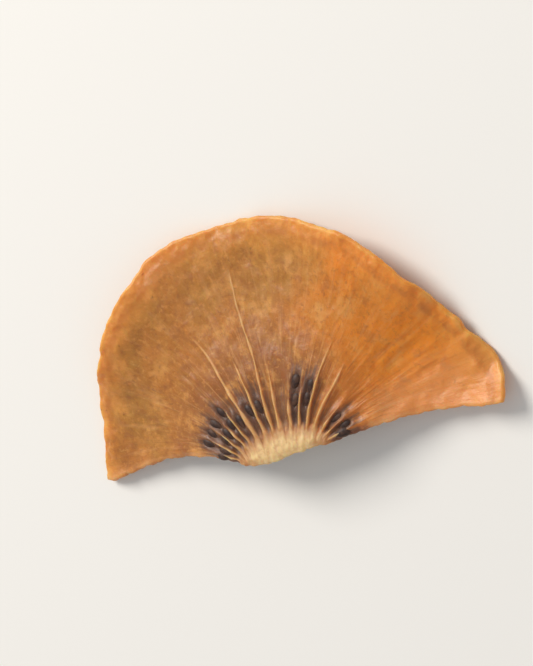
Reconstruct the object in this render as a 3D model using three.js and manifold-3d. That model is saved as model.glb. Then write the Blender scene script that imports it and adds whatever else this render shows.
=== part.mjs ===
// A half-moon slice of golden kiwi fruit, dried.
//
// The fruit was cut across, the round slice was halved through its core, and the half
// curled as it dried. It is one piece: pale core, thin flesh, the walls between the seed
// pockets, and the seeds in them. It lies on a surface on three low spots of its rim.
//
// Millimetres, +Z up. X runs along the cut edge, Y goes from the cut edge out to the
// round rim, and the origin is under the middle of the slice, on the surface it lies on.

import * as THREE from 'three';
import Module from 'manifold-3d';

const wasm = await Module();
wasm.setup();

const degree = Math.PI / 180;

// Outline
const sliceRadius = 23.3; // from the middle of the cut edge to the rim
const coreHalfLength = 5.4; // the pale core, along the cut edge
const coreHalfDepth = 2.1; // the pale core, in from the cut edge
const cutBowLeft = 1.3; // how far the cut edge draws in beside the core
const cutBowRight = 0.7;
const coreBulge = { at: -2.6, width: 3.8, out: 0.8 }; // the core's left end stands out of the cut edge
const cutBowFade = 6; // both die away over this depth of flesh
const rimSwellings = [
  { at: 104, width: 30, share: 0.042 }, // a broad shoulder
  { at: 114, width: 7, share: 0.03 }, // its corner
  { at: 62, width: 20, share: 0.035 }, // a low shoulder on the right
  { at: 28, width: 9, share: -0.012 }, // a flatter stretch
  { at: 7, width: 10, share: 0.06 }, // the right tip
  { at: 180, width: 10, share: 0.04 }, // the left tip
]; // in degrees round the core from the right end, and shares of the radius
const rimScallops = [
  { waves: 14, phase: 1, share: 0.005 },
  { waves: 31, phase: 2.2, share: 0.002 },
];

// Thickness
const fleshThickness = 1.35;
const coreSwell = 0.4; // the core stands proud of the flesh, on each face
const coreEndLoss = 0.6; // the share of the swell that goes towards the core's two ends
const coreGroove = 0.12; // a shallow groove rings the core, on each face
const fleshSag = { at: 0.66, width: 0.2, depth: 0.13 }; // the flesh dries thinner in a ring, on each face
const rimTaper = 0.2; // each face comes in this much at the rim
const rimRounding = 0.3; // the rounded edge reaches past the faces by this much
const cutRounding = 0.22;
const cutTaper = { depth: 0.14, width: 0.4 }; // each face comes in along the cut edge, but for its tips

// Curl
const crownHeight = 3.8; // the core's height over the rim's low spots
const rimLiftLeft = 3.3; // the rim's rise between its low spots
const rimLiftRight = 3.3;
const ruffleRate = 4.6; // sets the low spots 78 degrees apart round the core
const ruffleMiddle = 91 * degree; // the middle low spot
const tipCurlRight = 1.0;
const tipWidth = 11 * degree;
const slowWave = 0.3; // waves left by the drying
const quickWave = 0.14;
const leanAlong = 0.0025; // brings the three low spots level, as slopes
const leanAcross = 0.0143;
const restSink = 0.17; // shaved off the underside where the rim rests

// Walls between the seed pockets, from the right end of the cut edge round to the left
const wallHeight = 0.2;
const wallHalfWidth = 0.17; // as a share of the spacing
const wallReach = [
  0.34, 0.3, 0.36, 0.56, 0.62, 0.38, 0.34, 0.44, 0.92, 0.56, 0.73, 0.4, 0.36, 0.37, 0.39, 0.34,
]; // how far each wall shows, as a share of the radius
const wallCount = wallReach.length;
const pocketDepth = 0.24; // the pockets sink this far between the walls, on each face
const pocketRing = { start: 0.1, full: 0.17, fades: 0.32, end: 0.42 }; // shares of the radius

// Seeds, counted pocket by pocket in the same order
const seedsInPocket = [1, 1, 1, 0, 0, 2, 2, 0, 0, 1, 1, 1, 2, 2, 2, 2, 1];
const seedHalfLength = 1.05;
const seedHalfWidth = 0.56;
const seedHalfHeight = 0.46;
const seedTaper = 0.28; // one end of a seed is slimmer than the other
const seedSink = 0.18; // a seed's middle lies this far under the surface
const seedTurn = 0.8; // seeds lie askew within this angle in all, in radians
const seedRing = 0.235; // the first seed of a pocket, as a share of the radius
const seedRowStep = 0.084;
const seedSmallest = 0.86; // against the largest
const seedSides = 6;
const seedBands = 4;

// Facets
const facetsPerPocket = 6;
const columns = wallCount * facetsPerPocket;
const ringZones = [
  { end: coreHalfDepth, steps: 3 },
  { end: pocketRing.end * sliceRadius, steps: 8 },
  { end: 0.9 * sliceRadius, steps: 4 },
  { end: sliceRadius, steps: 3 },
];

const focus = Math.sqrt(coreHalfLength ** 2 - coreHalfDepth ** 2);

function smooth(from, to, value) {
  return THREE.MathUtils.smoothstep(value, from, to);
}

// 1 at the middle of a swelling, fading to nothing either side
function bump(offset, width) {
  return Math.exp(-((offset / width) ** 2));
}

// A repeatable number from 0 to 1 for each index and each use
function draw(index, use) {
  const wave = Math.sin(index * 12.9898 + use * 78.233) * 43758.5453;
  return wave - Math.floor(wave);
}

// The angle round the core. The walls are even in along, from 0 at the right end of the
// cut edge to 1 at the left end, and two sines crowd some of them and spread others.
function angleAt(along) {
  const even = Math.PI * along;
  return even + Math.sin(even) * (0.024 * Math.sin(9 * even + 0.6) + 0.01 * Math.sin(17 * even + 2.1));
}

// How far the rim swells or draws in at an angle, as a share of the radius
function rimSwell(angle) {
  let swell = 0;
  for (const { at, width, share } of rimSwellings) {
    swell += share * bump(angle - at * degree, width * degree);
  }
  for (const { waves, phase, share } of rimScallops) {
    swell += share * Math.sin(waves * angle + phase);
  }
  return swell;
}

// Where a point of the slice lies in plan. The rings are ellipses about the core, which
// narrow to the line between its two foci on the cut edge.
function planAt(along, out) {
  const angle = angleAt(along);
  const share = out / sliceRadius;
  const stretch = 1 + rimSwell(angle) * share ** 3;
  const x = Math.hypot(out, focus) * Math.cos(angle) * stretch;
  const y = out * Math.sin(angle) * stretch;
  const arm = (Math.abs(x) - coreHalfLength) / (sliceRadius - coreHalfLength);
  const bow = (x > 0 ? cutBowRight : cutBowLeft) * Math.sin(Math.PI * THREE.MathUtils.clamp(arm, 0, 1));
  const bulge = coreBulge.out * bump(x - coreBulge.at, coreBulge.width);
  return [x, y + (bow - bulge) * Math.exp(-y / cutBowFade)];
}

// The height of the middle of the flesh: a crown over the core that levels out at the
// rim, the rim's ruffle, the curled tip and the waves left by the drying, with the lean
// that brings the three low spots level.
function curlAt(along, out) {
  const angle = angleAt(along);
  const share = out / sliceRadius;
  const crown = crownHeight * Math.cos((Math.PI / 2) * share) ** 2;
  const lift = THREE.MathUtils.lerp(rimLiftLeft, rimLiftRight, 0.5 + 0.5 * Math.cos(angle));
  const ruffle = 0.5 - 0.5 * Math.cos(ruffleRate * (angle - ruffleMiddle));
  const tip = tipCurlRight * bump(angle, tipWidth) * share ** 6;
  const slow = slowWave * share ** 2 * Math.sin(6.3 * angle + 3 * share + 1.1);
  const quick = quickWave * share ** 3 * Math.sin(17 * angle - 4 * share);
  const [x, y] = planAt(along, out);
  const lean = leanAlong * x + leanAcross * y;
  return crown + lift * share ** 2.2 * ruffle + tip + slow + quick - lean;
}

// How far a face stands from the middle of the flesh
function reliefAt(along, out) {
  const angle = angleAt(along);
  const share = out / sliceRadius;
  const coreShare = out / coreHalfDepth;
  const slimmer = 1 - coreEndLoss * smooth(0.55, 1, Math.abs(Math.cos(angle)));
  const core = coreSwell * slimmer * (1 - smooth(0.2, 1.3, coreShare));
  const groove = coreGroove * bump(coreShare - 1.5, 0.3);
  const sag = fleshSag.depth * bump(share - fleshSag.at, fleshSag.width);
  const rim = rimTaper * smooth(0.9, 1, share);
  const fromCut = out * Math.sin(angle);
  const cut = cutTaper.depth * bump(fromCut, cutTaper.width) * (1 - smooth(0.6, 0.85, share));

  const placeInPocket = along * wallCount - Math.floor(along * wallCount);
  const fromWall = Math.abs(placeInPocket - 0.5);
  const wall = Math.min(Math.floor(along * wallCount), wallCount - 1);
  const wallShows = smooth(0.1, 0.18, share) * (1 - smooth(wallReach[wall] - 0.1, wallReach[wall], share));
  const ridge = wallHeight * wallShows * Math.max(0, 1 - fromWall / wallHalfWidth);

  const { start, full, fades, end } = pocketRing;
  const inPocketRing = smooth(start, full, share) * (1 - smooth(fades, end, share));
  const hollow = pocketDepth * inPocketRing * Math.sin(Math.PI * fromWall) ** 2;
  return fleshThickness / 2 + core + ridge - groove - hollow - sag - rim - cut;
}

// A point on the top face (side 1) or the underside (side -1), before the slice is set down
function pointAt(along, out, side) {
  const [x, y] = planAt(along, out);
  return new THREE.Vector3(x, y, curlAt(along, out) + side * reliefAt(along, out));
}

function ringDistances() {
  const rings = [0];
  for (const { end, steps } of ringZones) {
    const start = rings[rings.length - 1];
    for (let step = 1; step <= steps; step++) {
      rings.push(start + ((end - start) * step) / steps);
    }
  }
  return rings;
}

// The flesh: two faces on one grid of columns and rings, joined by a rounded edge
function fleshGeometry() {
  const rings = ringDistances();
  const points = [];
  const triangles = [];
  const faceStart = {};

  for (const side of [1, -1]) {
    faceStart[side] = points.length;
    for (let column = 0; column <= columns; column++) {
      for (const out of rings) {
        points.push(pointAt(column / columns, out, side));
      }
    }
  }

  const pointIndex = (side, column, ring) => faceStart[side] + column * rings.length + ring;
  for (let column = 0; column < columns; column++) {
    for (let ring = 0; ring < rings.length - 1; ring++) {
      for (const side of [1, -1]) {
        const near = pointIndex(side, column, ring);
        const nearNext = pointIndex(side, column, ring + 1);
        const far = pointIndex(side, column + 1, ring);
        const farNext = pointIndex(side, column + 1, ring + 1);
        if (side === 1) triangles.push(near, nearNext, farNext, near, farNext, far);
        else triangles.push(near, farNext, nearNext, near, far, farNext);
      }
    }
  }

  // The outline, from the core out along the right of the cut edge, round the rim, and
  // back along the left of the cut edge and across the core
  const lastRing = rings.length - 1;
  const outline = [];
  for (let ring = 0; ring < lastRing; ring++) outline.push([0, ring]);
  for (let column = 0; column < columns; column++) outline.push([column, lastRing]);
  for (let ring = lastRing; ring > 0; ring--) outline.push([columns, ring]);
  for (let column = columns; column > 0; column--) outline.push([column, 0]);

  const middleStart = points.length;
  outline.forEach(([column, ring], place) => {
    const [beforeColumn, beforeRing] = outline.at(place - 1);
    const [afterColumn, afterRing] = outline[(place + 1) % outline.length];
    const before = points[pointIndex(1, beforeColumn, beforeRing)];
    const after = points[pointIndex(1, afterColumn, afterRing)];
    const outward = new THREE.Vector3(after.y - before.y, before.x - after.x, 0).normalize();
    const rounding = ring === lastRing ? rimRounding : cutRounding;
    const top = points[pointIndex(1, column, ring)];
    const under = points[pointIndex(-1, column, ring)];
    points.push(top.clone().lerp(under, 0.5).addScaledVector(outward, rounding));
  });

  outline.forEach(([column, ring], place) => {
    const next = (place + 1) % outline.length;
    const top = pointIndex(1, column, ring);
    const topNext = pointIndex(1, ...outline[next]);
    const middle = middleStart + place;
    const middleNext = middleStart + next;
    const under = pointIndex(-1, column, ring);
    const underNext = pointIndex(-1, ...outline[next]);
    triangles.push(top, middle, middleNext, top, middleNext, topNext);
    triangles.push(middle, under, underNext, middle, underNext, middleNext);
  });

  const geometry = new THREE.BufferGeometry().setFromPoints(points);
  geometry.setIndex(triangles);
  return geometry;
}

// One seed, lying along its pocket with the slim end towards the core, sunk into the flesh
function seedGeometry(along, out, side, turn, size) {
  const geometry = new THREE.SphereGeometry(1, seedSides, seedBands);
  geometry.rotateZ(-Math.PI / 2);
  const corners = geometry.getAttribute('position');
  for (let index = 0; index < corners.count; index++) {
    const slimness = 1 + seedTaper * corners.getX(index);
    corners.setY(index, corners.getY(index) * slimness);
    corners.setZ(index, corners.getZ(index) * slimness);
  }
  geometry.scale(size * seedHalfLength, size * seedHalfWidth, size * seedHalfHeight);
  geometry.rotateZ(turn);

  const nearby = 0.3;
  const place = pointAt(along, out, side);
  const outward = pointAt(along, out + nearby, side).sub(pointAt(along, out - nearby, side)).normalize();
  const across = new THREE.Vector3(-outward.y, outward.x, 0).normalize();
  const up = new THREE.Vector3().crossVectors(outward, across);
  geometry.applyMatrix4(new THREE.Matrix4().makeBasis(outward, across, up));
  return geometry.translate(...place.addScaledVector(up, -side * seedSink));
}

// The seeds of one face, drawn pocket by pocket. The underside has other seeds than the
// top: its pockets take the same counts in another order, with one seed each at most.
function seedGeometries(side) {
  const seeds = [];
  seedsInPocket.forEach((countAbove, pocket) => {
    const shuffled = seedsInPocket[(pocket * 5 + 3) % seedsInPocket.length];
    const count = side === 1 ? countAbove : Math.min(shuffled, 1);
    for (let row = 0; row < count; row++) {
      const index = side * (pocket * 3 + row + 1);
      const sideways = 0.36 * (draw(index, 1) - 0.5);
      const along = THREE.MathUtils.clamp((pocket + sideways) / wallCount, 0.02, 0.98);
      const share = seedRing + seedRowStep * row + 0.035 * (draw(index, 2) - 0.5);
      const turn = seedTurn * (draw(index, 3) - 0.5);
      const size = THREE.MathUtils.lerp(seedSmallest, 1, draw(index, 4));
      seeds.push(seedGeometry(along, share * sliceRadius, side, turn, size));
    }
  });
  return seeds;
}

// A closed solid from a geometry, with the points that lie on each other made one
function solidFrom(geometry) {
  const placeOf = new Map();
  const vertexes = [];
  const positions = geometry.getAttribute('position');
  const merged = Array.from({ length: positions.count }, (_, index) => {
    const point = [positions.getX(index), positions.getY(index), positions.getZ(index)];
    const key = point.map((value) => Math.round(value * 1e5)).join(' ');
    if (!placeOf.has(key)) {
      placeOf.set(key, vertexes.length / 3);
      vertexes.push(...point);
    }
    return placeOf.get(key);
  });
  const corners = Array.from(geometry.index.array, (index) => merged[index]);
  const triangles = [];
  for (let first = 0; first < corners.length; first += 3) {
    const triangle = corners.slice(first, first + 3);
    if (new Set(triangle).size === 3) triangles.push(...triangle);
  }
  return new wasm.Manifold(
    new wasm.Mesh({
      numProp: 3,
      vertProperties: new Float32Array(vertexes),
      triVerts: new Uint32Array(triangles),
    }),
  );
}

function geometryFrom(solid) {
  const mesh = solid.getMesh();
  const geometry = new THREE.BufferGeometry();
  geometry.setAttribute('position', new THREE.BufferAttribute(mesh.vertProperties, 3));
  geometry.setIndex(new THREE.BufferAttribute(mesh.triVerts, 1));
  return geometry;
}

// Sets the slice down on the surface: the low spots of its rim press flat on it, and the
// middle of the slice comes over the origin
function setDown(geometry) {
  geometry.computeBoundingBox();
  const middle = geometry.boundingBox.getCenter(new THREE.Vector3());
  geometry.translate(-middle.x, -middle.y, -geometry.boundingBox.min.z - restSink);
  const points = geometry.getAttribute('position');
  for (let index = 0; index < points.count; index++) {
    points.setZ(index, Math.max(points.getZ(index), 0));
  }
  return geometry;
}

const flesh = solidFrom(fleshGeometry());
const seeds = [...seedGeometries(1), ...seedGeometries(-1)].map(solidFrom);
const slice = seeds.reduce((body, seed) => body.add(seed), flesh);

const driedFlesh = new THREE.MeshStandardMaterial({
  color: 0xc8833f,
  roughness: 0.5,
  metalness: 0,
});

const driedKiwiSlice = new THREE.Mesh(setDown(geometryFrom(slice)), driedFlesh);
driedKiwiSlice.name = 'dried_kiwi_slice';

const part = new THREE.Group();
part.add(driedKiwiSlice);

export default part;
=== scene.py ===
import math
from types import SimpleNamespace

import bpy
import numpy as np
from mathutils import Matrix, Vector


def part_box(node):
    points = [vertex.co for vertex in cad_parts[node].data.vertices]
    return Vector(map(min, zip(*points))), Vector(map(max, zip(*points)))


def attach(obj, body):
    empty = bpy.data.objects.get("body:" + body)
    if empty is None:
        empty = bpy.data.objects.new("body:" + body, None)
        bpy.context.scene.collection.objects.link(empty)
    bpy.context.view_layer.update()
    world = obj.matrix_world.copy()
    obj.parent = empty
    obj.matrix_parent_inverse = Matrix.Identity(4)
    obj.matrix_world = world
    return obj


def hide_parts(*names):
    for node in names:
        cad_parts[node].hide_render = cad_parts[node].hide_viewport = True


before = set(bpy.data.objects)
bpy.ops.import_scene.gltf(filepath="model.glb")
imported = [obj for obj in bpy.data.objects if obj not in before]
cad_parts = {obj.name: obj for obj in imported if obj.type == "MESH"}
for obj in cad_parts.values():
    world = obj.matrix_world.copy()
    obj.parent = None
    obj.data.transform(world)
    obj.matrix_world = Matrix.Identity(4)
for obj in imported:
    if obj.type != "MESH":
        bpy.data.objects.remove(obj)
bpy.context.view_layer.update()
print("frame loaded")

mm = 0.001
degree = math.pi / 180
bothSides = (1, -1)      # the top face, then the underside


def smooth(start, end, value):
    # rises from 0 at start to 1 at end, level at both
    share = np.clip((value - start) / (end - start), 0, 1)
    return share * share * (3 - 2 * share)


def bump(offset, width):
    # a bell: 1 in the middle, e to the minus square of offset over width
    return np.exp(-((offset / width) ** 2))


def draw(index, use):
    # a repeatable number from 0 to 1: the fraction of a large multiple of a sine
    wave = math.sin(index * 12.9898 + use * 78.233) * 43758.5453
    return wave - math.floor(wave)


def sineSum(angle, waves):
    # each wave is its count, phase and share: the shares times the sines, added up
    return sum(share * np.sin(count * angle + phase) for count, phase, share in waves)


def waveField(x, y, number, lengths):
    # plane waves in directions drawn from the number, of lengths between the two given,
    # added up and scaled to run mostly from -1 to 1
    shortest, longest = lengths
    count = 22
    rng = np.random.default_rng(number)
    field = np.zeros_like(x)
    for turn, phase, pick in rng.random((count, 3)):
        rate = 2 * math.pi / (shortest + (longest - shortest) * pick)
        heading = math.pi * turn
        onward = x * math.cos(heading) + y * math.sin(heading)
        field = field + np.sin(rate * onward + 2 * math.pi * phase)
    return field / math.sqrt(2 * count)


# One dried half slice of golden kiwi. Lengths in mm, shares are of the radius, and a
# field's number picks its waves.
flesh = {
    "radius": 23.3,                # middle of the cut edge to the rim
    "coreHalfLength": 5.4,         # the pale core, along the cut edge
    "coreHalfDepth": 2.1,          # and in from it
    "cutBowLeft": 1.3,             # the cut edge draws in beside the core
    "cutBowRight": 0.7,
    "cutBowFade": 6,               # less so further in
    "coreBulge": (-2.6, 3.8, 0.8),  # the core's left end stands out: middle, width, mm
    "cutNicks": [(1.9, 0.5, 0.05), (4.3, 2.1, 0.035), (7.1, 1.2, 0.02)],    # rate, phase, mm
    "swellings": [                 # of the rim: degrees round, width in degrees, share
        (104, 30, 0.042),
        (114, 7, 0.03),
        (62, 20, 0.035),
        (28, 9, -0.012),
        (7, 10, 0.06),
        (180, 10, 0.04),
    ],
    "scallops": [(14, 1, 0.005), (31, 2.2, 0.002)],         # waves, phase, share
    "nibbles": 0.0042,             # the rim's small irregular bites, as a share
    "nibbleField": 5,
    "nibbleLengths": (1.2, 5.5),
    "nibblePower": 14,             # so high that only the rim is bitten
    "thickness": 1.35,
    "coreSwell": 0.4,              # the core stands proud, on each face
    "coreSwellFade": (0.2, 1.3),   # out to these shares of its depth
    "coreEndLoss": 0.6,            # less so towards its two ends
    "coreGroove": (1.5, 0.3, 0.12),  # rings it: share of its depth, width, mm
    "fleshSag": (0.66, 0.2, 0.13),  # a ring dries thinner: share, width, mm on each face
    "rimTaper": (0.9, 0.2),        # each face comes in at the rim: share, mm
    "rimRounding": 0.3,
    "cutRounding": 0.22,
    "cutTaper": (0.4, 0.14),       # each face comes in along the cut edge: width, mm
    "cutTaperEnd": (0.6, 0.85),
    "crown": 3.8,                  # the core's height over the rim's low spots
    "rimLiftLeft": 3.3,
    "rimLiftRight": 3.3,
    "rimLiftPower": 2.2,
    "ruffleRate": 4.6,
    "ruffleMiddle": 91,            # degrees round, where the rim rests
    "tipCurl": 1.0,                # the right tip turns up
    "tipWidth": 11,                # degrees
    "tipPower": 6,
    "ripples": [                   # mm, power of the share, waves, twist, phase
        (0.3, 2, 6.3, 3, 1.1),
        (0.14, 3, 17, -4, 0),
    ],
    "leanAlong": 0.0025,           # mm down to a mm, which levels the low spots
    "leanAcross": 0.0143,
    "edgeWave": (0.72, 0.2),       # the rim's small waves, both faces together: share, mm
    "edgeWaveField": 71,
    "edgeWaveLengths": (2.6, 7),
    "restSink": 0.17,              # pressed flat where the rim rests
    "wallReach": [                 # how far each wall shows, right to left
        0.34, 0.3, 0.36, 0.56, 0.62, 0.38, 0.34, 0.44,
        0.92, 0.56, 0.73, 0.4, 0.36, 0.37, 0.39, 0.34,
    ],
    "wallStart": (0.08, 0.14),     # the walls begin over these shares
    "wallFadeLength": 0.2,
    "wallCrowding": [(9, 0.6, 0.024), (17, 2.1, 0.01)],     # waves, phase, share
    "wallHeight": 0.2,
    "wallHeightLoss": (0.38, 0.5, 0.45),    # further out: from, to, share lost
    "wallHalfWidth": 0.17,
    "wallNarrowing": 0.45,
    "wallWander": (0.07, 0.55, 2.3),        # share of the spacing, rate out, shift per wall
    "wallSwelling": (0.25, 1.9, 3),         # share of its width, likewise
    "wallFading": (0.3, 1.3, 2.1),          # share of its strength, likewise
    "pocketDepth": 0.24,           # the hollows between the walls
    "pocketRing": (0.1, 0.17, 0.32, 0.42),  # start, full, still full, end
    "columnsPerWall": 24,
    "columnCrowding": 1.35,        # the columns lie closer at the walls
    "rings": 108,
    "ringCrowding": 0.06,          # the rings lie closer at the core and at the rim
    "edgeSteps": 6,
    "edgeFullness": 0.8,           # under 1 makes the half-round edge fuller
    "edgeLumps": 0.09,             # the edge all round is a little lumpy
    "lumpFields": (91, 92),
    "broadLumpLengths": (1.2, 3.6),
    "fineLumpLengths": (0.5, 1.1),
    "lumpFade": 1.5,               # none where the outline starts and ends
}

wallReach = np.array(flesh["wallReach"])
wallCount = len(wallReach)
focus = math.sqrt(flesh["coreHalfLength"] ** 2 - flesh["coreHalfDepth"] ** 2)


def angleAt(along):
    # the angle round the core: even in along, with two sines that crowd some walls
    even = math.pi * along
    return even + np.sin(even) * sineSum(even, flesh["wallCrowding"])


def planAt(along, out):
    # ellipses about the core's two foci, stretched by the rim's swellings and scallops
    # times the cube of the share and by its nibbles times a high power of it, then the cut
    # edge drawn in beside the core, bulged out at its left end and nicked by three sines
    angle = angleAt(along)
    share = out / flesh["radius"]
    swell = sineSum(angle, flesh["scallops"])
    for middle, width, amount in flesh["swellings"]:
        swell = swell + amount * bump(angle - middle * degree, width * degree)
    rimX, rimY = flesh["radius"] * np.cos(angle), flesh["radius"] * np.sin(angle)
    bites = waveField(rimX, rimY, flesh["nibbleField"], flesh["nibbleLengths"])
    nibbles = flesh["nibbles"] * bites
    stretch = 1 + swell * share ** 3 + nibbles * share ** flesh["nibblePower"]
    x = np.hypot(out, focus) * np.cos(angle) * stretch
    y = out * np.sin(angle) * stretch
    arm = (np.abs(x) - flesh["coreHalfLength"]) / (flesh["radius"] - flesh["coreHalfLength"])
    bow = np.where(x > 0, flesh["cutBowRight"], flesh["cutBowLeft"]) * np.sin(math.pi * np.clip(arm, 0, 1))
    bulgeMiddle, bulgeWidth, bulgeOut = flesh["coreBulge"]
    bulge = bulgeOut * bump(x - bulgeMiddle, bulgeWidth)
    nicks = sineSum(x, flesh["cutNicks"]) * np.exp(-y)
    return x, y + (bow - bulge) * np.exp(-y / flesh["cutBowFade"]) + nicks


def curlAt(along, out):
    # the height of the middle of the flesh: a crown that falls as a squared cosine, the
    # rim's ruffle, the curled tip and two ripples, less the lean that levels the low
    # spots, and a wave field at the rim
    angle = angleAt(along)
    share = out / flesh["radius"]
    x, y = planAt(along, out)
    crown = flesh["crown"] * np.cos(math.pi / 2 * share) ** 2
    rightness = 0.5 + 0.5 * np.cos(angle)
    lift = flesh["rimLiftLeft"] + (flesh["rimLiftRight"] - flesh["rimLiftLeft"]) * rightness
    ruffle = 0.5 - 0.5 * np.cos(flesh["ruffleRate"] * (angle - flesh["ruffleMiddle"] * degree))
    tip = flesh["tipCurl"] * bump(angle, flesh["tipWidth"] * degree) * share ** flesh["tipPower"]
    height = crown + lift * share ** flesh["rimLiftPower"] * ruffle + tip
    for amount, power, count, twist, phase in flesh["ripples"]:
        height = height + amount * share ** power * np.sin(count * angle + twist * share + phase)
    lean = flesh["leanAlong"] * x + flesh["leanAcross"] * y
    waveStart, waveHeight = flesh["edgeWave"]
    edge = waveHeight * waveField(x, y, flesh["edgeWaveField"], flesh["edgeWaveLengths"])
    return height - lean + edge * smooth(waveStart, 1, share)


def wallsAt(along, out):
    # how near a point is to a wall's crest, 0 to 1, how strongly that wall shows there,
    # and how far it is from the wall as a share of the spacing. A wall wanders, swells and
    # fades as sines along it.
    share = out / flesh["radius"]
    wall = np.clip(np.floor(along * wallCount).astype(int), 0, wallCount - 1)
    reach = wallReach[wall]
    sideways, wanderRate, wanderShift = flesh["wallWander"]
    swelling, swellRate, swellShift = flesh["wallSwelling"]
    fading, fadeRate, fadeShift = flesh["wallFading"]
    wander = sideways * np.sin(wanderRate * out + wanderShift * wall) * smooth(0.2, 0.5, share)
    fromWall = np.abs(along * wallCount - wall - 0.5 - wander)
    spacing = math.pi * np.maximum(out, 1) / wallCount
    narrower = flesh["wallHalfWidth"] * (1 - flesh["wallNarrowing"] * share / reach)
    halfWidth = narrower * (1 + swelling * np.sin(swellRate * out + swellShift * wall))
    crest = bump(fromWall * spacing, halfWidth)
    fade = 1 - fading * np.sin(fadeRate * out + fadeShift * wall) ** 2
    ending = 1 - smooth(reach - flesh["wallFadeLength"], reach, share)
    return crest, fade * smooth(*flesh["wallStart"], share) * ending, fromWall


def reliefAt(along, out):
    # how far a face stands from the middle: half the thickness, the core's swell less its
    # groove, the walls' ridges, less the hollows between the walls, the sag of the thinner
    # ring and the tapers at the rim and along the cut edge
    angle = angleAt(along)
    share = out / flesh["radius"]
    coreShare = out / flesh["coreHalfDepth"]
    slimmer = 1 - flesh["coreEndLoss"] * smooth(0.55, 1, np.abs(np.cos(angle)))
    core = flesh["coreSwell"] * slimmer * (1 - smooth(*flesh["coreSwellFade"], coreShare))
    grooveMiddle, grooveWidth, grooveDepth = flesh["coreGroove"]
    groove = grooveDepth * bump(coreShare - grooveMiddle, grooveWidth)
    sagMiddle, sagWidth, sagDepth = flesh["fleshSag"]
    sag = sagDepth * bump(share - sagMiddle, sagWidth)
    rimStart, rimDepth = flesh["rimTaper"]
    rim = rimDepth * smooth(rimStart, 1, share)
    cutWidth, cutDepth = flesh["cutTaper"]
    cut = cutDepth * bump(out * np.sin(angle), cutWidth) * (1 - smooth(*flesh["cutTaperEnd"], share))
    crest, shows, fromWall = wallsAt(along, out)
    start, full, fades, end = flesh["pocketRing"]
    inRing = smooth(start, full, share) * (1 - smooth(fades, end, share))
    hollow = flesh["pocketDepth"] * inRing * np.sin(math.pi * np.clip(fromWall, 0, 0.5)) ** 2
    lossStart, lossEnd, loss = flesh["wallHeightLoss"]
    ridge = flesh["wallHeight"] * shows * crest * (1 - loss * smooth(lossStart, lossEnd, share))
    return flesh["thickness"] / 2 + core + ridge - groove - hollow - sag - rim - cut


def pointAt(along, out, side):
    # a point on the top face, side 1, or the underside, side -1
    x, y = planAt(along, out)
    return np.stack([x, y, curlAt(along, out) + side * reliefAt(along, out)], axis=-1)


# The seeds, counted pocket by pocket from the right. Lengths in mm, shares are of the
# slice's radius.
seed = {
    "inPocket": [1, 1, 1, 0, 0, 2, 2, 0, 0, 1, 1, 1, 2, 2, 2, 2, 1],
    "mostBelow": 1,                # in a pocket of the underside
    "halfLength": 1.05,
    "halfWidth": 0.56,
    "halfHeight": 0.46,
    "taper": 0.28,                 # slimmer towards the core
    "smallest": 0.86,
    "askew": 0.8,                  # the range of their turns, in radians
    "sink": 0.18,                  # their middles under the surface
    "ring": 0.235,                 # the share at which the first row lies
    "rowStep": 0.084,
    "shiftAlong": 0.36,            # drawn shifts, of the spacing and as a share
    "shiftOut": 0.035,
    "fromCutEdge": 0.02,
    "aimStep": 0.3,                # the pocket's direction is taken over this length
    "sides": 20,
    "bands": 14,
}


def seedCounts(side):
    # the seeds of each pocket: the top's as listed, the underside's in another order
    counts = np.array(seed["inPocket"])
    return counts if side > 0 else counts[(np.arange(len(counts)) * 5 + 3) % len(counts)]


def seedPlaces(side):
    # pocket by pocket: the pocket's middle with a drawn shift, and rows outwards with one
    places = []
    for pocket, count in enumerate(seedCounts(side)):
        for row in range(count if side > 0 else min(count, seed["mostBelow"])):
            index = side * (pocket * 3 + row + 1)
            along = (pocket + seed["shiftAlong"] * (draw(index, 1) - 0.5)) / wallCount
            share = seed["ring"] + seed["rowStep"] * row + seed["shiftOut"] * (draw(index, 2) - 0.5)
            turn = seed["askew"] * (draw(index, 3) - 0.5)
            size = seed["smallest"] + (1 - seed["smallest"]) * draw(index, 4)
            along = min(max(along, seed["fromCutEdge"]), 1 - seed["fromCutEdge"])
            places.append((along, share * flesh["radius"], turn, size))
    return np.array(places)


def seedNearness(x, y, side):
    # the distance to the nearest seed in halves of its length and width, 1 at its outline
    along, out, turn, size = seedPlaces(side).T
    places = np.stack(planAt(along, out), axis=1)
    heading = np.stack(planAt(along, out + seed["aimStep"]), axis=1) - places
    angles = np.arctan2(heading[:, 1], heading[:, 0]) + turn
    nearest = np.full_like(x, np.inf)
    for (middleX, middleY), angle, scale in zip(places, angles, size):
        ahead = (x - middleX) * math.cos(angle) + (y - middleY) * math.sin(angle)
        beside = (y - middleY) * math.cos(angle) - (x - middleX) * math.sin(angle)
        shape = np.hypot(ahead / seed["halfLength"], beside / seed["halfWidth"]) / scale
        nearest = np.minimum(nearest, shape)
    return nearest


# What drying leaves on each face. Heights and wave lengths in mm.
drying = {
    "firstField": {1: 11, -1: 51},  # the top's and the underside's, then counted up
    "dimples": 0.1,
    "dimpleLengths": (2.4, 6),
    "smallDimpleLengths": (0.9, 2.2),
    "pleats": 0.042,
    "pleatWaves": [(71, 0.3, 0.5), (97, 1.4, 0.35), (131, 2.9, 0.25)],     # waves, phase, share
    "pleatDrift": 0.04,            # they sway round the core, in radians
    "pleatDriftLengths": (4, 9),
    "pleatPatchLengths": (5, 12),
    "rimCrinkle": 0.045,
    "crinkleLengths": (0.7, 1.6),
    "rimPinch": (0.955, 0.13),     # comes in further at the very rim: share, mm
    "seedLip": 0.13,               # the flesh stands up round each seed
    "corePits": 0.045,
    "corePitLengths": (0.7, 1.8),
    "corePitStretch": 1.6,
    "coreFoldLengths": (1.5, 4),
}


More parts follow.
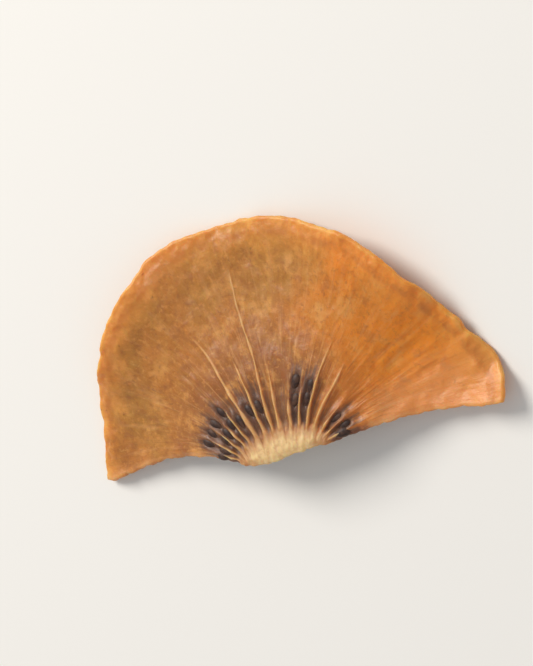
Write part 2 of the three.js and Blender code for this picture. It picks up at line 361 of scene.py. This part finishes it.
def fineReliefAt(along, out, side):
    # how far drying lifts a face: dimples as a wave field, radial pleats as sines round
    # the core where another field lets them, a crinkled and pinched rim, a pitted core,
    # and a lip of flesh round each seed
    angle = angleAt(along)
    share = out / flesh["radius"]
    x, y = planAt(along, out)
    first = drying["firstField"][side]
    dimples = 0.65 * waveField(x, y, first, drying["dimpleLengths"])
    dimples = dimples + 0.35 * waveField(x, y, first + 1, drying["smallDimpleLengths"])
    drift = drying["pleatDrift"] * waveField(x, y, first + 2, drying["pleatDriftLengths"])
    patches = smooth(-0.5, 0.7, waveField(x, y, first + 5, drying["pleatPatchLengths"]))
    pleats = sineSum(angle + drift, drying["pleatWaves"]) * smooth(0.2, 0.45, share) * patches
    crinkle = waveField(x, y, first + 3, drying["crinkleLengths"]) * smooth(0.9, 1, share)
    pinchStart, pinchDepth = drying["rimPinch"]
    pits = waveField(x * drying["corePitStretch"], y, first + 4, drying["corePitLengths"])
    folds = waveField(x, y, first + 6, drying["coreFoldLengths"])
    core = (1 - smooth(0.7, 1.3, out / flesh["coreHalfDepth"])) * (pits + folds)
    lip = bump(seedNearness(x, y, side) - 1.2, 0.38)
    return (
        drying["dimples"] * dimples * smooth(0.14, 0.28, share)
        + drying["pleats"] * pleats
        + drying["rimCrinkle"] * crinkle
        - pinchDepth * smooth(pinchStart, 1, share)
        + drying["seedLip"] * lip
        + drying["corePits"] * core
    )


# Where the flesh is dark between the walls, and where it pales to the core
tint = {
    "pocketStart": (0.1, 0.15),
    "pocketReach": 0.3,            # as a share, and further with each seed
    "reachPerSeed": 0.045,
    "pocketFade": (0.08, 0.06),    # before and beyond its reach
    "pocketStreaks": [(67, 0.3, 0.022), (113, 1.1, 0.018), (181, 2, 0.016)],
    "emptyPocket": 0.4,
    "darkerPerSeed": 0.34,
    "coreEllipse": (6.2, 2.6),     # half of its length, and its depth from the cut, mm
    "coreFade": (0.32, 1.21),
    "coreTeeth": [(23, 0.4, 0.07), (41, 1.7, 0.055), (67, 0.9, 0.04)],
    "coreAlongWalls": 0.2,
    "coreDrawnIn": 0.08,           # at its left end
    "cutLineWidth": 0.45,
    "stainStart": 0.8,             # round each seed, in halves of its size
    "stainWidth": 1.1,
}


def pocketMask(along, out, side):
    # how dark the tissue between the walls is: a ring round the core, wider and darker
    # where a pocket holds seeds, its far side drawn into streaks by sines, fading towards
    # each wall as a sine, and paler towards both ends of the cut edge
    counts = seedCounts(side)
    held = counts[np.clip(np.floor(along * wallCount + 0.5).astype(int), 0, len(counts) - 1)]
    share = out / flesh["radius"]
    crest, shows, fromWall = wallsAt(along, out)
    streaks = sineSum(angleAt(along), tint["pocketStreaks"])
    reach = tint["pocketReach"] + tint["reachPerSeed"] * held + streaks
    before, beyond = tint["pocketFade"]
    ring = smooth(*tint["pocketStart"], share) * (1 - smooth(reach - before, reach + beyond, share))
    dark = np.clip(tint["emptyPocket"] + tint["darkerPerSeed"] * held, 0, 1)
    dark = dark * (0.72 + 0.28 * smooth(0.2, 0.34, along)) * (1 - 0.3 * smooth(0.6, 0.85, along))
    return ring * dark * np.sin(math.pi * np.clip(fromWall, 0, 0.5)) ** 0.6


def coreMask(along, out):
    # 1 in the middle of the pale core, falling outwards over ellipses. Away from the cut
    # face its margin is drawn out along the walls and toothed by sines. It is drawn in a
    # little to the left.
    angle = angleAt(along)
    crest, shows, fromWall = wallsAt(along, out)
    halfLength, depth = tint["coreEllipse"]
    sideways, fromCut = np.hypot(out, focus) * np.cos(angle), out * np.sin(angle)
    ellipse = np.hypot(sideways / halfLength, fromCut / depth)
    teeth = sineSum(angle, tint["coreTeeth"])
    ragged = (teeth - tint["coreAlongWalls"] * crest) * smooth(0, 0.9, fromCut)
    drawnIn = tint["coreDrawnIn"] * smooth(0.55, 1, along)
    return 1 - smooth(*tint["coreFade"], ellipse + ragged + drawnIn)


def stainMask(x, y, side):
    # 1 on the seeds, falling as a bell outside them
    beyond = np.maximum(seedNearness(x, y, side) - tint["stainStart"], 0)
    return bump(beyond, tint["stainWidth"])


def sliceGrid():
    # along and out over the slice: the columns crowded towards the walls by a power of the
    # offset from them, and the rings towards the core and the rim by a sine
    perWall = flesh["columnsPerWall"]
    steps = np.arange(wallCount * perWall + 1) / perWall
    wall = np.minimum(np.floor(steps), wallCount - 1)
    offset = 2 * (steps - wall) - 1
    crowded = np.sign(offset) * np.abs(offset) ** flesh["columnCrowding"]
    even = np.linspace(0, 1, flesh["rings"] + 1)
    out = flesh["radius"] * (even - flesh["ringCrowding"] * np.sin(2 * math.pi * even))
    return np.meshgrid((wall + 0.5 + 0.5 * crowded) / wallCount, out, indexing="ij")


def edgeLoops(edgeTop, edgeUnder, onRim, turns):
    # half-round steps from the top's outline down to the underside's: cosines down, and
    # out by a power of the sine and by two wave fields over the length of the edge
    onward = np.roll(edgeTop, -1, axis=0) - np.roll(edgeTop, 1, axis=0)
    outward = np.stack([onward[:, 1], -onward[:, 0], np.zeros(len(onward))], axis=1)
    outward /= np.linalg.norm(outward, axis=1)[:, None]
    arc = np.cumsum(np.hypot(onward[:, 0], onward[:, 1])) / 2
    awayFromStart = smooth(0, flesh["lumpFade"], arc) * smooth(0, flesh["lumpFade"], arc[-1] - arc)
    rounding = np.where(onRim, flesh["rimRounding"], flesh["cutRounding"])[:, None]
    broadField, fineField = flesh["lumpFields"]
    middle = (edgeTop + edgeUnder) / 2
    half = (edgeTop - edgeUnder) / 2
    loops = []
    for turn in turns:
        loop = middle + half * math.cos(turn)
        broad = waveField(arc, 2 * loop[:, 2], broadField, flesh["broadLumpLengths"])
        fine = waveField(arc, loop[:, 2], fineField, flesh["fineLumpLengths"])
        lumps = flesh["edgeLumps"] * (0.7 * broad + 0.3 * fine) * awayFromStart * math.sin(turn)
        reach = rounding * math.sin(turn) ** flesh["edgeFullness"] + lumps[:, None]
        loops.append(loop + outward * reach)
    return loops


def fleshFields(along, out, outline, turns):
    # what the material reads at each point: the same on both faces, apart from the pockets
    # and how near the seeds are
    along, out = along.ravel(), out.ravel()
    share = out / flesh["radius"]
    place = np.stack([along, share, np.ones_like(along)], axis=1)
    sideways = [place[outline] * (1, 1, math.cos(turn)) for turn in turns]
    crest, shows, fromWall = wallsAt(along, out)
    x, y = planAt(along, out)
    masks = {
        "along": [along] * 2,
        "share": [share] * 2,
        "core": [coreMask(along, out)] * 2,
        "cutLine": [bump(out * np.sin(angleAt(along)), tint["cutLineWidth"])] * 2,
        "wall": [crest * shows] * 2,
        "pocket": [pocketMask(along, out, side) for side in bothSides],
        "stain": [stainMask(x, y, side) for side in bothSides],
    }
    fields = {"place": np.concatenate([place, place * (1, 1, -1), *sideways])}
    for name, (above, below) in masks.items():
        fields[name] = np.concatenate([above, below, *[above[outline]] * len(turns)])
    return fields


def fleshArrays():
    # two faces on one grid, and loops of points down the edge that join their outlines
    along, out = sliceGrid()
    rows, rings = along.shape
    faces = []
    for side in bothSides:
        face = pointAt(along, out, side)
        face[..., 2] += side * fineReliefAt(along, out, side)
        faces.append(face.reshape(-1, 3))
    top, under = faces

    index = np.arange(rows * rings).reshape(rows, rings)
    outline = np.concatenate([index[0, :-1], index[:-1, -1], index[-1, :0:-1], index[:0:-1, 0]])
    onRim = outline % rings == rings - 1
    turns = math.pi * np.arange(1, flesh["edgeSteps"] + 1) / (flesh["edgeSteps"] + 1)
    loops = edgeLoops(top[outline], under[outline], onRim, turns)

    corners = [index[:-1, :-1], index[:-1, 1:], index[1:, 1:], index[1:, :-1]]
    topQuads = np.stack(corners, axis=-1).reshape(-1, 4)
    quads = [topQuads, topQuads[:, ::-1] + rows * rings]
    levels = [outline]
    for number in range(len(loops)):
        levels.append(2 * rows * rings + number * len(outline) + np.arange(len(outline)))
    levels.append(outline + rows * rings)
    for upper, lower in zip(levels[:-1], levels[1:]):
        quads.append(np.stack([upper, lower, np.roll(lower, -1), np.roll(upper, -1)], axis=1))
    points = np.concatenate([top, under, *loops])
    return points, np.concatenate(quads), fleshFields(along, out, outline, turns)


def seedBall():
    # one ball drawn out to a seed along X, slimmer towards the core: rings of points whose
    # radius is the sine of their tilt, quads between the rings, and a fan round each pole
    bands, sides = seed["bands"], seed["sides"]
    tilt = math.pi * np.arange(1, bands) / bands
    spin = 2 * math.pi * np.arange(sides) / sides
    ringX = np.repeat(-np.cos(tilt), sides)
    ringR = np.repeat(np.sin(tilt), sides) * (1 + seed["taper"] * ringX)
    ringSpin = np.tile(spin, bands - 1)
    ball = np.stack([ringX, ringR * np.cos(ringSpin), ringR * np.sin(ringSpin)], axis=1)
    ball = np.concatenate([ball, [[-1, 0, 0], [1, 0, 0]]])
    ball = ball * (seed["halfLength"], seed["halfWidth"], seed["halfHeight"])

    ring = np.arange((bands - 1) * sides).reshape(bands - 1, sides)
    beside = np.roll(ring, -1, axis=1)
    quads = np.stack([ring[:-1], beside[:-1], beside[1:], ring[1:]], axis=-1).reshape(-1, 4)
    slimEnd, broadEnd = ring.size, ring.size + 1
    slimFan = np.stack([beside[0], ring[0], np.full(sides, slimEnd)], axis=1)
    broadFan = np.stack([ring[-1], beside[-1], np.full(sides, broadEnd)], axis=1)
    return ball, quads, np.concatenate([slimFan, broadFan])


def seedArrays():
    # the ball repeated at every place, its long axis along the pocket, turned and scaled
    # by that seed's draws, and its middle under the surface
    ball, quads, triangles = seedBall()
    allPoints, allQuads, allTriangles, heights, count = [], [], [], [], 0
    step = seed["aimStep"]
    for side in bothSides:
        along, out, turn, size = seedPlaces(side).T
        outward = pointAt(along, out + step, side) - pointAt(along, out - step, side)
        outward /= np.linalg.norm(outward, axis=1)[:, None]
        across = np.stack([-outward[:, 1], outward[:, 0], np.zeros(len(out))], axis=1)
        across /= np.linalg.norm(across, axis=1)[:, None]
        up = np.cross(outward, across)
        centre = pointAt(along, out, side) - side * seed["sink"] * up
        cosine, sine = np.cos(turn)[:, None], np.sin(turn)[:, None]
        ahead = outward * cosine + across * sine
        beyond = across * cosine - outward * sine
        axes = np.stack([ahead, beyond, up], axis=1)
        points = centre[:, None, :] + np.einsum("pi,sij->spj", ball, axes) * size[:, None, None]
        starts = (count + np.arange(len(out)) * len(ball))[:, None, None]
        allPoints.append(points.reshape(-1, 3))
        allQuads.append((quads[None] + starts).reshape(-1, 4))
        allTriangles.append((triangles[None] + starts).reshape(-1, 3))
        heights.append(np.tile(side * ball[:, 2], len(out)))
        count += len(out) * len(ball)
    fields = {"height": np.concatenate(heights)}
    return np.concatenate(allPoints), np.concatenate(allQuads), np.concatenate(allTriangles), fields


def makeMesh(name, points, quads, triangles=None, fields=None):
    # puts arrays of points in mm, quads and triangles into a mesh object, smooth all over
    mesh = bpy.data.meshes.new(name)
    groups = [quads] if triangles is None else [quads, triangles]
    corners = np.concatenate([group.ravel() for group in groups])
    sizes = np.concatenate([np.full(len(group), group.shape[1]) for group in groups])
    mesh.vertices.add(len(points))
    mesh.vertices.foreach_set("co", (points * mm).astype(np.float32).ravel())
    mesh.loops.add(len(corners))
    mesh.loops.foreach_set("vertex_index", corners.astype(np.int32))
    mesh.polygons.add(len(sizes))
    mesh.polygons.foreach_set("loop_start", (np.cumsum(sizes) - sizes).astype(np.int32))
    mesh.polygons.foreach_set("use_smooth", np.ones(len(sizes), bool))
    mesh.update(calc_edges=True)
    for field, values in (fields or {}).items():
        kind, key = ("FLOAT_VECTOR", "vector") if values.ndim == 2 else ("FLOAT", "value")
        attribute = mesh.attributes.new(field, kind, "POINT")
        attribute.data.foreach_set(key, values.astype(np.float32).ravel())
    mesh.validate()
    piece = bpy.data.objects.new(name, mesh)
    bpy.context.scene.collection.objects.link(piece)
    return piece


class Number:
    # one socket of a shader, so that maths on it reads as plain arithmetic
    def __init__(self, board, socket):
        self.board = board
        self.socket = socket

    def maths(self, operation, first, second):
        # one Math node on two sockets or values
        return self.board.add("ShaderNodeMath", {"operation": operation}, {0: first, 1: second})

    def __add__(self, other):
        return self.maths("ADD", self, other)

    def __radd__(self, other):
        return self.maths("ADD", other, self)

    def __sub__(self, other):
        return self.maths("SUBTRACT", self, other)

    def __rsub__(self, other):
        return self.maths("SUBTRACT", other, self)

    def __mul__(self, other):
        return self.maths("MULTIPLY", self, other)

    def __rmul__(self, other):
        return self.maths("MULTIPLY", other, self)


class Board:
    # the node tree of one material
    def __init__(self, name):
        self.material = bpy.data.materials.new(name)
        self.material.use_nodes = True
        self.tree = self.material.node_tree
        self.tree.nodes.clear()

    def add(self, kind, settings=None, sockets=None, output=0):
        # adds a node, its settings first, then values or links on its sockets
        node = self.tree.nodes.new(kind)
        for setting, value in (settings or {}).items():
            setattr(node, setting, value)
        for key, value in (sockets or {}).items():
            if isinstance(value, Number):
                self.tree.links.new(value.socket, node.inputs[key])
            else:
                node.inputs[key].default_value = value
        return Number(self, node.outputs[output])

    def field(self, name, output="Fac"):
        # what the mesh holds at each point under this name
        return self.add("ShaderNodeAttribute", {"attribute_name": name}, output=output)

    def stretched(self, vector, scale):
        # the vector times the scale, axis by axis
        return self.add("ShaderNodeMapping", None, {"Vector": vector, "Scale": scale})

    def between(self, value, start, end):
        # 0 at start to 1 at end, levelling at both
        settings = {"interpolation_type": "SMOOTHSTEP"}
        return self.add("ShaderNodeMapRange", settings, {0: value, 1: start, 2: end, 3: 0.0, 4: 1.0})

    def blendColours(self, first, second, factor):
        # the first colour where the factor is 0, the second where it is 1
        return self.add("ShaderNodeMix", {"data_type": "RGBA"}, {0: factor, 6: first, 7: second}, output=2)

    def noise(self, vector, scale, detail=3.0, roughness=0.55, distortion=0.0):
        # soft noise about 0.5, its scale in patches to a unit of the vector
        sockets = {
            "Vector": vector,
            "Scale": scale,
            "Detail": detail,
            "Roughness": roughness,
            "Distortion": distortion,
        }
        return self.add("ShaderNodeTexNoise", None, sockets)

    def finish(self, sockets):
        # ends the tree in one surface shader with these sockets
        shader = self.add("ShaderNodeBsdfPrincipled", None, sockets)
        surface = self.tree.nodes.new("ShaderNodeOutputMaterial")
        self.tree.links.new(shader.socket, surface.inputs["Surface"])
        return self.material


def tone(red, green, blue):
    # a picture's colour from 0 to 255 as the shader's linear colour
    def linear(value):
        share = value / 255
        return share / 12.92 if share <= 0.04045 else ((share + 0.055) / 1.055) ** 2.4
    return (linear(red), linear(green), linear(blue), 1.0)


# The dried flesh. Noise scales are in patches to the metre.
fleshFinish = {
    "outer": tone(186, 120, 50),
    "olive": tone(179, 121, 50),
    "inner": tone(146, 88, 42),
    "light": tone(215, 152, 77),
    "dark": tone(156, 94, 44),
    "right": tone(234, 135, 22),
    "peach": tone(216, 148, 90),
    "fibreLight": tone(216, 162, 106),
    "fibreDark": tone(138, 84, 46),
    "rimLine": tone(178, 100, 38),
    # painted highlight: the thin pale line along the rim's edge
    "paintedRimHighlight": tone(228, 172, 88),
    "cutPale": tone(232, 174, 116),
    "pocket": tone(98, 67, 52),
    "pocketBrown": tone(134, 88, 56),
    "wall": tone(218, 166, 108),
    "halo": tone(186, 132, 82),
    "core": tone(206, 160, 108),
    "coreMiddle": tone(228, 194, 138),
    "coreStreak": tone(184, 132, 80),
    # painted glow: lighter amber near the rim, for light passing through the thin flesh
    "paintedRimGlow": tone(226, 150, 62),
    "speck": tone(112, 66, 34),
    "broadScale": 120,
    "patchyScale": 430,
    "grainScale": 1900,
    "speckScale": 900,
    "coreStreakScale": 1300,
    "fibreStretch": (85, 3.4, 4),  # patches round the core, out from it, through the slice
    "hairStretch": (240, 5.5, 4),
    "roughness": 0.43,
    "coat": 0.07,
    "coatRoughness": 0.32,
    "refraction": 1.45,
    "bumpStrength": 0.6,
    "bumpDepth": 0.00018,
    "subsurface": 0.6,
    "subsurfaceScale": 0.0022,
    "subsurfaceRadius": (1.0, 0.45, 0.18),
}


def fleshReadings(board):
    # the fields of the mesh and the noises that the colours below are made from
    look = fleshFinish
    at = SimpleNamespace()
    at.share = board.field("share")
    at.along = board.field("along")
    at.wall = board.field("wall")
    at.core = board.field("core")
    at.cutLine = board.field("cutLine")
    at.pocket = board.field("pocket")
    at.stain = board.field("stain")
    at.offCore = board.between(at.share, 0.0, 0.07)

    at.spot = board.add("ShaderNodeTexCoord", output="Object")
    at.broad = board.noise(at.spot, look["broadScale"], 3)
    at.patchy = board.noise(at.spot, look["patchyScale"], 5, 0.62)
    at.grain = board.noise(at.spot, look["grainScale"], 4, 0.6)
    place = board.field("place", "Vector")
    at.fibres = board.noise(board.stretched(place, look["fibreStretch"]), 1, 4, 0.6, 0.3)
    at.hairs = board.noise(board.stretched(place, look["hairStretch"]), 1, 3, 0.6, 0.2)
    return at


def groundColour(board, at):
    # broad patches, then the orange right side, and the browner flesh near the core
    look = fleshFinish
    colour = board.blendColours(look["outer"], look["olive"], board.between(at.broad, 0.42, 0.6))
    rightwards = at.along + 0.3 * (at.broad - 0.5) + 0.1 * (at.patchy - 0.5)
    colour = board.blendColours(colour, look["right"], 0.92 * board.between(rightwards, 0.46, 0.17))
    inwards = at.share + 0.22 * (at.patchy - 0.5) + 0.16 * (at.fibres - 0.5)
    colour = board.blendColours(colour, look["inner"], 0.88 * board.between(inwards, 0.66, 0.3))

    # mottling and grain
    colour = board.blendColours(colour, look["light"], 0.65 * board.between(at.patchy, 0.5, 0.68))
    colour = board.blendColours(colour, look["dark"], 0.6 * board.between(at.patchy, 0.48, 0.32))
    colour = board.blendColours(colour, look["dark"], 0.5 * board.between(at.grain, 0.52, 0.68))
    colour = board.blendColours(colour, look["light"], 0.42 * board.between(at.grain, 0.46, 0.32))

    # the right side again, more thinly, over its own mottling, and peach by its cut edge
    colour = board.blendColours(colour, look["right"], 0.42 * board.between(rightwards, 0.38, 0.15))
    byCut = board.between(at.along + 0.1 * (at.patchy - 0.5), 0.14, 0.03)
    byCut = byCut * board.between(at.share, 0.3, 0.5)
    return board.blendColours(colour, look["peach"], 0.6 * byCut)


def withFibres(board, at, colour):
    # pale fibres and dark hairs, plainest near the core, and none on its cut face
    look = fleshFinish
    nearCore = board.between(at.share, 0.75, 0.3)
    streaks = (0.18 + 0.42 * nearCore) * board.between(at.fibres, 0.5, 0.7)
    colour = board.blendColours(colour, look["fibreLight"], at.offCore * streaks)
    darkHairs = (0.1 + 0.4 * nearCore) * board.between(at.hairs, 0.52, 0.72)
    return board.blendColours(colour, look["fibreDark"], at.offCore * darkHairs)


def withEdges(board, at, colour):
    # a painted glow near the rim, lighter amber for light through the thin flesh, then a broken darker
    # line inside a thin painted highlight along the edge.
    # The cut edge is a little paler too, and specks lie over it all.
    look = fleshFinish
    # painted glow of light through the thin flesh: lighter amber towards the rim
    glowNearRim = board.between(at.share + 0.3 * (at.broad - 0.5) + 0.1 * (at.patchy - 0.5), 0.84, 1.0)
    colour = board.blendColours(colour, look["paintedRimGlow"], 0.5 * glowNearRim)
    edge = at.share + 0.02 * (at.patchy - 0.5)
    rimLine = board.between(edge, 0.925, 0.95) * board.between(edge, 0.985, 0.96)
    rimLine = 0.45 * rimLine * board.between(at.patchy, 0.42, 0.6)
    colour = board.blendColours(colour, look["rimLine"], rimLine)
    # painted highlight: a thin pale line along the very edge of the rim, broken in places by patches
    rimHighlightLine = board.between(edge, 0.978, 1.004) * (0.2 + 0.8 * board.between(at.patchy, 0.42, 0.62))
    colour = board.blendColours(colour, look["paintedRimHighlight"], 0.55 * rimHighlightLine)
    paleCut = at.cutLine * (0.3 + 0.7 * board.between(at.patchy, 0.4, 0.6))
    colour = board.blendColours(colour, look["cutPale"], 0.5 * paleCut)
    specks = board.between(board.noise(at.spot, look["speckScale"], 2), 0.71, 0.77)
    return board.blendColours(colour, look["speck"], 0.35 * specks)


def withPockets(board, at, colour):
    # the dark pockets, ragged and brown where they fade, a stain round each seed, and the
    # pale walls between the pockets
    look = fleshFinish
    inPocket = board.between(at.pocket, 0.0, 0.2)
    ragged = at.pocket + 0.9 * (at.hairs - 0.5) + 0.7 * (at.fibres - 0.5) + 0.5 * (at.grain - 0.5)
    brownPart = 0.8 * inPocket * board.between(ragged, 0.05, 0.45)
    colour = board.blendColours(colour, look["pocketBrown"], brownPart)
    darkPart = 0.85 * inPocket * board.between(ragged, 0.3, 0.85)
    colour = board.blendColours(colour, look["pocket"], darkPart)
    colour = board.blendColours(colour, look["pocket"], 0.5 * at.stain)
    paleWall = board.between(at.wall + 0.3 * (at.grain - 0.5), 0.15, 0.75)
    return board.blendColours(colour, look["wall"], 0.85 * paleWall)


def withCore(board, at, colour):
    # the pale core inside a duller halo, palest in its middle and streaked darker
    look = fleshFinish
    uneven = at.core + 0.35 * (at.patchy - 0.5) + 0.35 * at.offCore * (at.fibres - 0.5)
    uneven = uneven + 0.3 * (at.grain - 0.5)
    colour = board.blendColours(colour, look["halo"], 0.8 * board.between(uneven, 0.12, 0.4))
    coreColour = board.blendColours(look["core"], look["coreMiddle"], board.between(uneven, 0.65, 1.0))
    streaks = board.between(board.noise(at.spot, look["coreStreakScale"], 4, 0.65, 0.6), 0.44, 0.66)
    coreColour = board.blendColours(coreColour, look["coreStreak"], 0.42 * streaks)
    return board.blendColours(colour, coreColour, board.between(uneven, 0.3, 0.62))


def fleshMaterial():
    # one colour laid over another, from the ground colour to the core, with a bump of
    # grain, fibres and patches
    board = Board("dried_flesh")
    look = fleshFinish
    at = fleshReadings(board)
    colour = groundColour(board, at)
    for layer in (withFibres, withEdges, withPockets, withCore):
        colour = layer(board, at, colour)
    roughness = look["roughness"] + 0.3 * (at.patchy - 0.5) + 0.12 * at.core
    roughness = roughness + 0.1 * at.wall - 0.06 * at.pocket
    height = 0.6 * at.grain + at.offCore * (0.4 * at.hairs + 0.35 * at.fibres) + 0.5 * at.patchy
    bumps = {"Height": height, "Strength": look["bumpStrength"], "Distance": look["bumpDepth"]}
    return board.finish({
        "Base Color": colour,
        "Roughness": roughness,
        "Normal": board.add("ShaderNodeBump", None, bumps),
        "Subsurface Weight": look["subsurface"],
        "Subsurface Scale": look["subsurfaceScale"],
        "Subsurface Radius": look["subsurfaceRadius"],
        "IOR": look["refraction"],
        "Coat Weight": look["coat"],
        "Coat Roughness": look["coatRoughness"],
    })


# The seeds' hard skin. Noise scales are in patches to the metre.
seedFinish = {
    "dark": tone(54, 36, 30),
    "brown": tone(92, 62, 45),
    "film": tone(120, 78, 50),
    "mottleScale": 1400,
    "pitScale": 6000,
    "roughness": 0.52,
    "refraction": 1.4,
    "bumpStrength": 0.5,
    "bumpDepth": 0.00005,
}


def seedMaterial():
    # dark brown skin, mottled lighter, with a fine pitted grain, under a film of dried
    # flesh that climbs its sides in patches
    board = Board("kiwi_seed")
    look = seedFinish
    spot = board.add("ShaderNodeTexCoord", output="Object")
    mottle = board.noise(spot, look["mottleScale"], 4)
    pits = board.noise(spot, look["pitScale"], 2)
    colour = board.blendColours(look["dark"], look["brown"], board.between(mottle, 0.42, 0.72))
    film = board.between(board.field("height") + 0.7 * (mottle - 0.5), 0.34, 0.1)
    bumps = {"Height": pits, "Strength": look["bumpStrength"], "Distance": look["bumpDepth"]}
    return board.finish({
        "Base Color": board.blendColours(colour, look["film"], 0.7 * film),
        "Roughness": look["roughness"] + 0.25 * (mottle - 0.5),
        "Normal": board.add("ShaderNodeBump", None, bumps),
        "IOR": look["refraction"],
    })


# The slice is set down where the solid lies: its middle over the solid's, its low spots
# pressed flat on the surface
fleshPoints, fleshQuads, fleshReads = fleshArrays()
lowest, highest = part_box("dried_kiwi_slice")
middle = (fleshPoints.min(axis=0) + fleshPoints.max(axis=0)) / 2
shift = np.array([
    (lowest.x + highest.x) / 2 / mm - middle[0],
    (lowest.y + highest.y) / 2 / mm - middle[1],
    -fleshPoints[:, 2].min() - flesh["restSink"],
])
fleshPoints += shift
fleshPoints[:, 2] = np.maximum(fleshPoints[:, 2], 0)
kiwiFlesh = makeMesh("kiwi_flesh", fleshPoints, fleshQuads, fields=fleshReads)
kiwiFlesh.data.materials.append(fleshMaterial())
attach(kiwiFlesh, "root")
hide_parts("dried_kiwi_slice")
print("flesh:", len(fleshPoints), "points,", len(fleshQuads), "quads")

# The seeds take the same shift as the flesh that holds them
seedPoints, seedQuads, seedTriangles, seedReads = seedArrays()
kiwiSeeds = makeMesh("kiwi_seeds", seedPoints + shift, seedQuads, seedTriangles, seedReads)
kiwiSeeds.data.materials.append(seedMaterial())
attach(kiwiSeeds, "root")
print("seeds:", len(seedPoints), "points")


# A plain pale floor, soft light from the sky and one large soft lamp. Lengths in metres.
studio = {
    "floorSize": 6.0,
    "floor": tone(246, 242, 235),
    "floorRoughness": 0.8,
    "sky": (0.93, 0.96, 1.0, 1.0),
    "skyStrength": 0.46,
    "lampSize": 0.36,
    "lampPower": 5.0,
    "lampPlace": (-0.3, 0.5, 0.45),
    "lampColour": (1.0, 0.97, 0.93),
}


def makeStudio():
    # a square of floor round the slice, an even sky, and a round lamp turned to the slice
    half = studio["floorSize"] / 2
    mesh = bpy.data.meshes.new("floor")
    corners = [(-half, -half, 0), (half, -half, 0), (half, half, 0), (-half, half, 0)]
    mesh.from_pydata(corners, [], [(0, 1, 2, 3)])
    floor = bpy.data.objects.new("floor", mesh)
    bpy.context.scene.collection.objects.link(floor)
    sockets = {"Base Color": studio["floor"], "Roughness": studio["floorRoughness"]}
    mesh.materials.append(Board("pale_floor").finish(sockets))

    world = bpy.data.worlds.new("studio")
    world.use_nodes = True
    background = world.node_tree.nodes["Background"]
    background.inputs["Color"].default_value = studio["sky"]
    background.inputs["Strength"].default_value = studio["skyStrength"]
    bpy.context.scene.world = world
    bpy.context.scene.view_settings.view_transform = "Standard"

    lamp = bpy.data.lights.new("lamp", "AREA")
    lamp.shape = "DISK"
    lamp.size = studio["lampSize"]
    lamp.energy = studio["lampPower"]
    lamp.color = studio["lampColour"]
    holder = bpy.data.objects.new("lamp", lamp)
    holder.location = studio["lampPlace"]
    holder.rotation_euler = (-Vector(studio["lampPlace"])).to_track_quat("-Z", "Y").to_euler()
    bpy.context.scene.collection.objects.link(holder)


makeStudio()
print("studio made")


# The camera looks down on the slice as the photograph looks at it: a little from the
# right end of the cut edge and from the rim, with the cut edge rising to the right by
# this many degrees. Lengths in metres, and the lens in mm.
viewpoint = {
    "from": (0.5, 0.15, 0.85),
    "rise": 12.8,
    "distance": 0.32,
    "target": (0.0005, 0.0005, 0.002),
    "lens": 164,
    "nearest": 0.005,
    "furthest": 20,
}


def makeCamera():
    # the picture's right is the slice's X as seen from the camera, turned down by the rise
    back = Vector(viewpoint["from"]).normalized()
    level = (Vector((1, 0, 0)) - back.x * back).normalized()
    upright = back.cross(level)
    rise = viewpoint["rise"] * degree
    right = level * math.cos(rise) - upright * math.sin(rise)
    up = back.cross(right)
    place = Vector(viewpoint["target"]) + back * viewpoint["distance"]
    camera = bpy.data.objects.new("camera", bpy.data.cameras.new("camera"))
    camera.data.lens = viewpoint["lens"]
    camera.data.clip_start = viewpoint["nearest"]
    camera.data.clip_end = viewpoint["furthest"]
    camera.matrix_world = Matrix.Translation(place) @ Matrix((right, up, back)).transposed().to_4x4()
    bpy.context.scene.collection.objects.link(camera)
    bpy.context.scene.camera = camera


makeCamera()
print("camera placed")
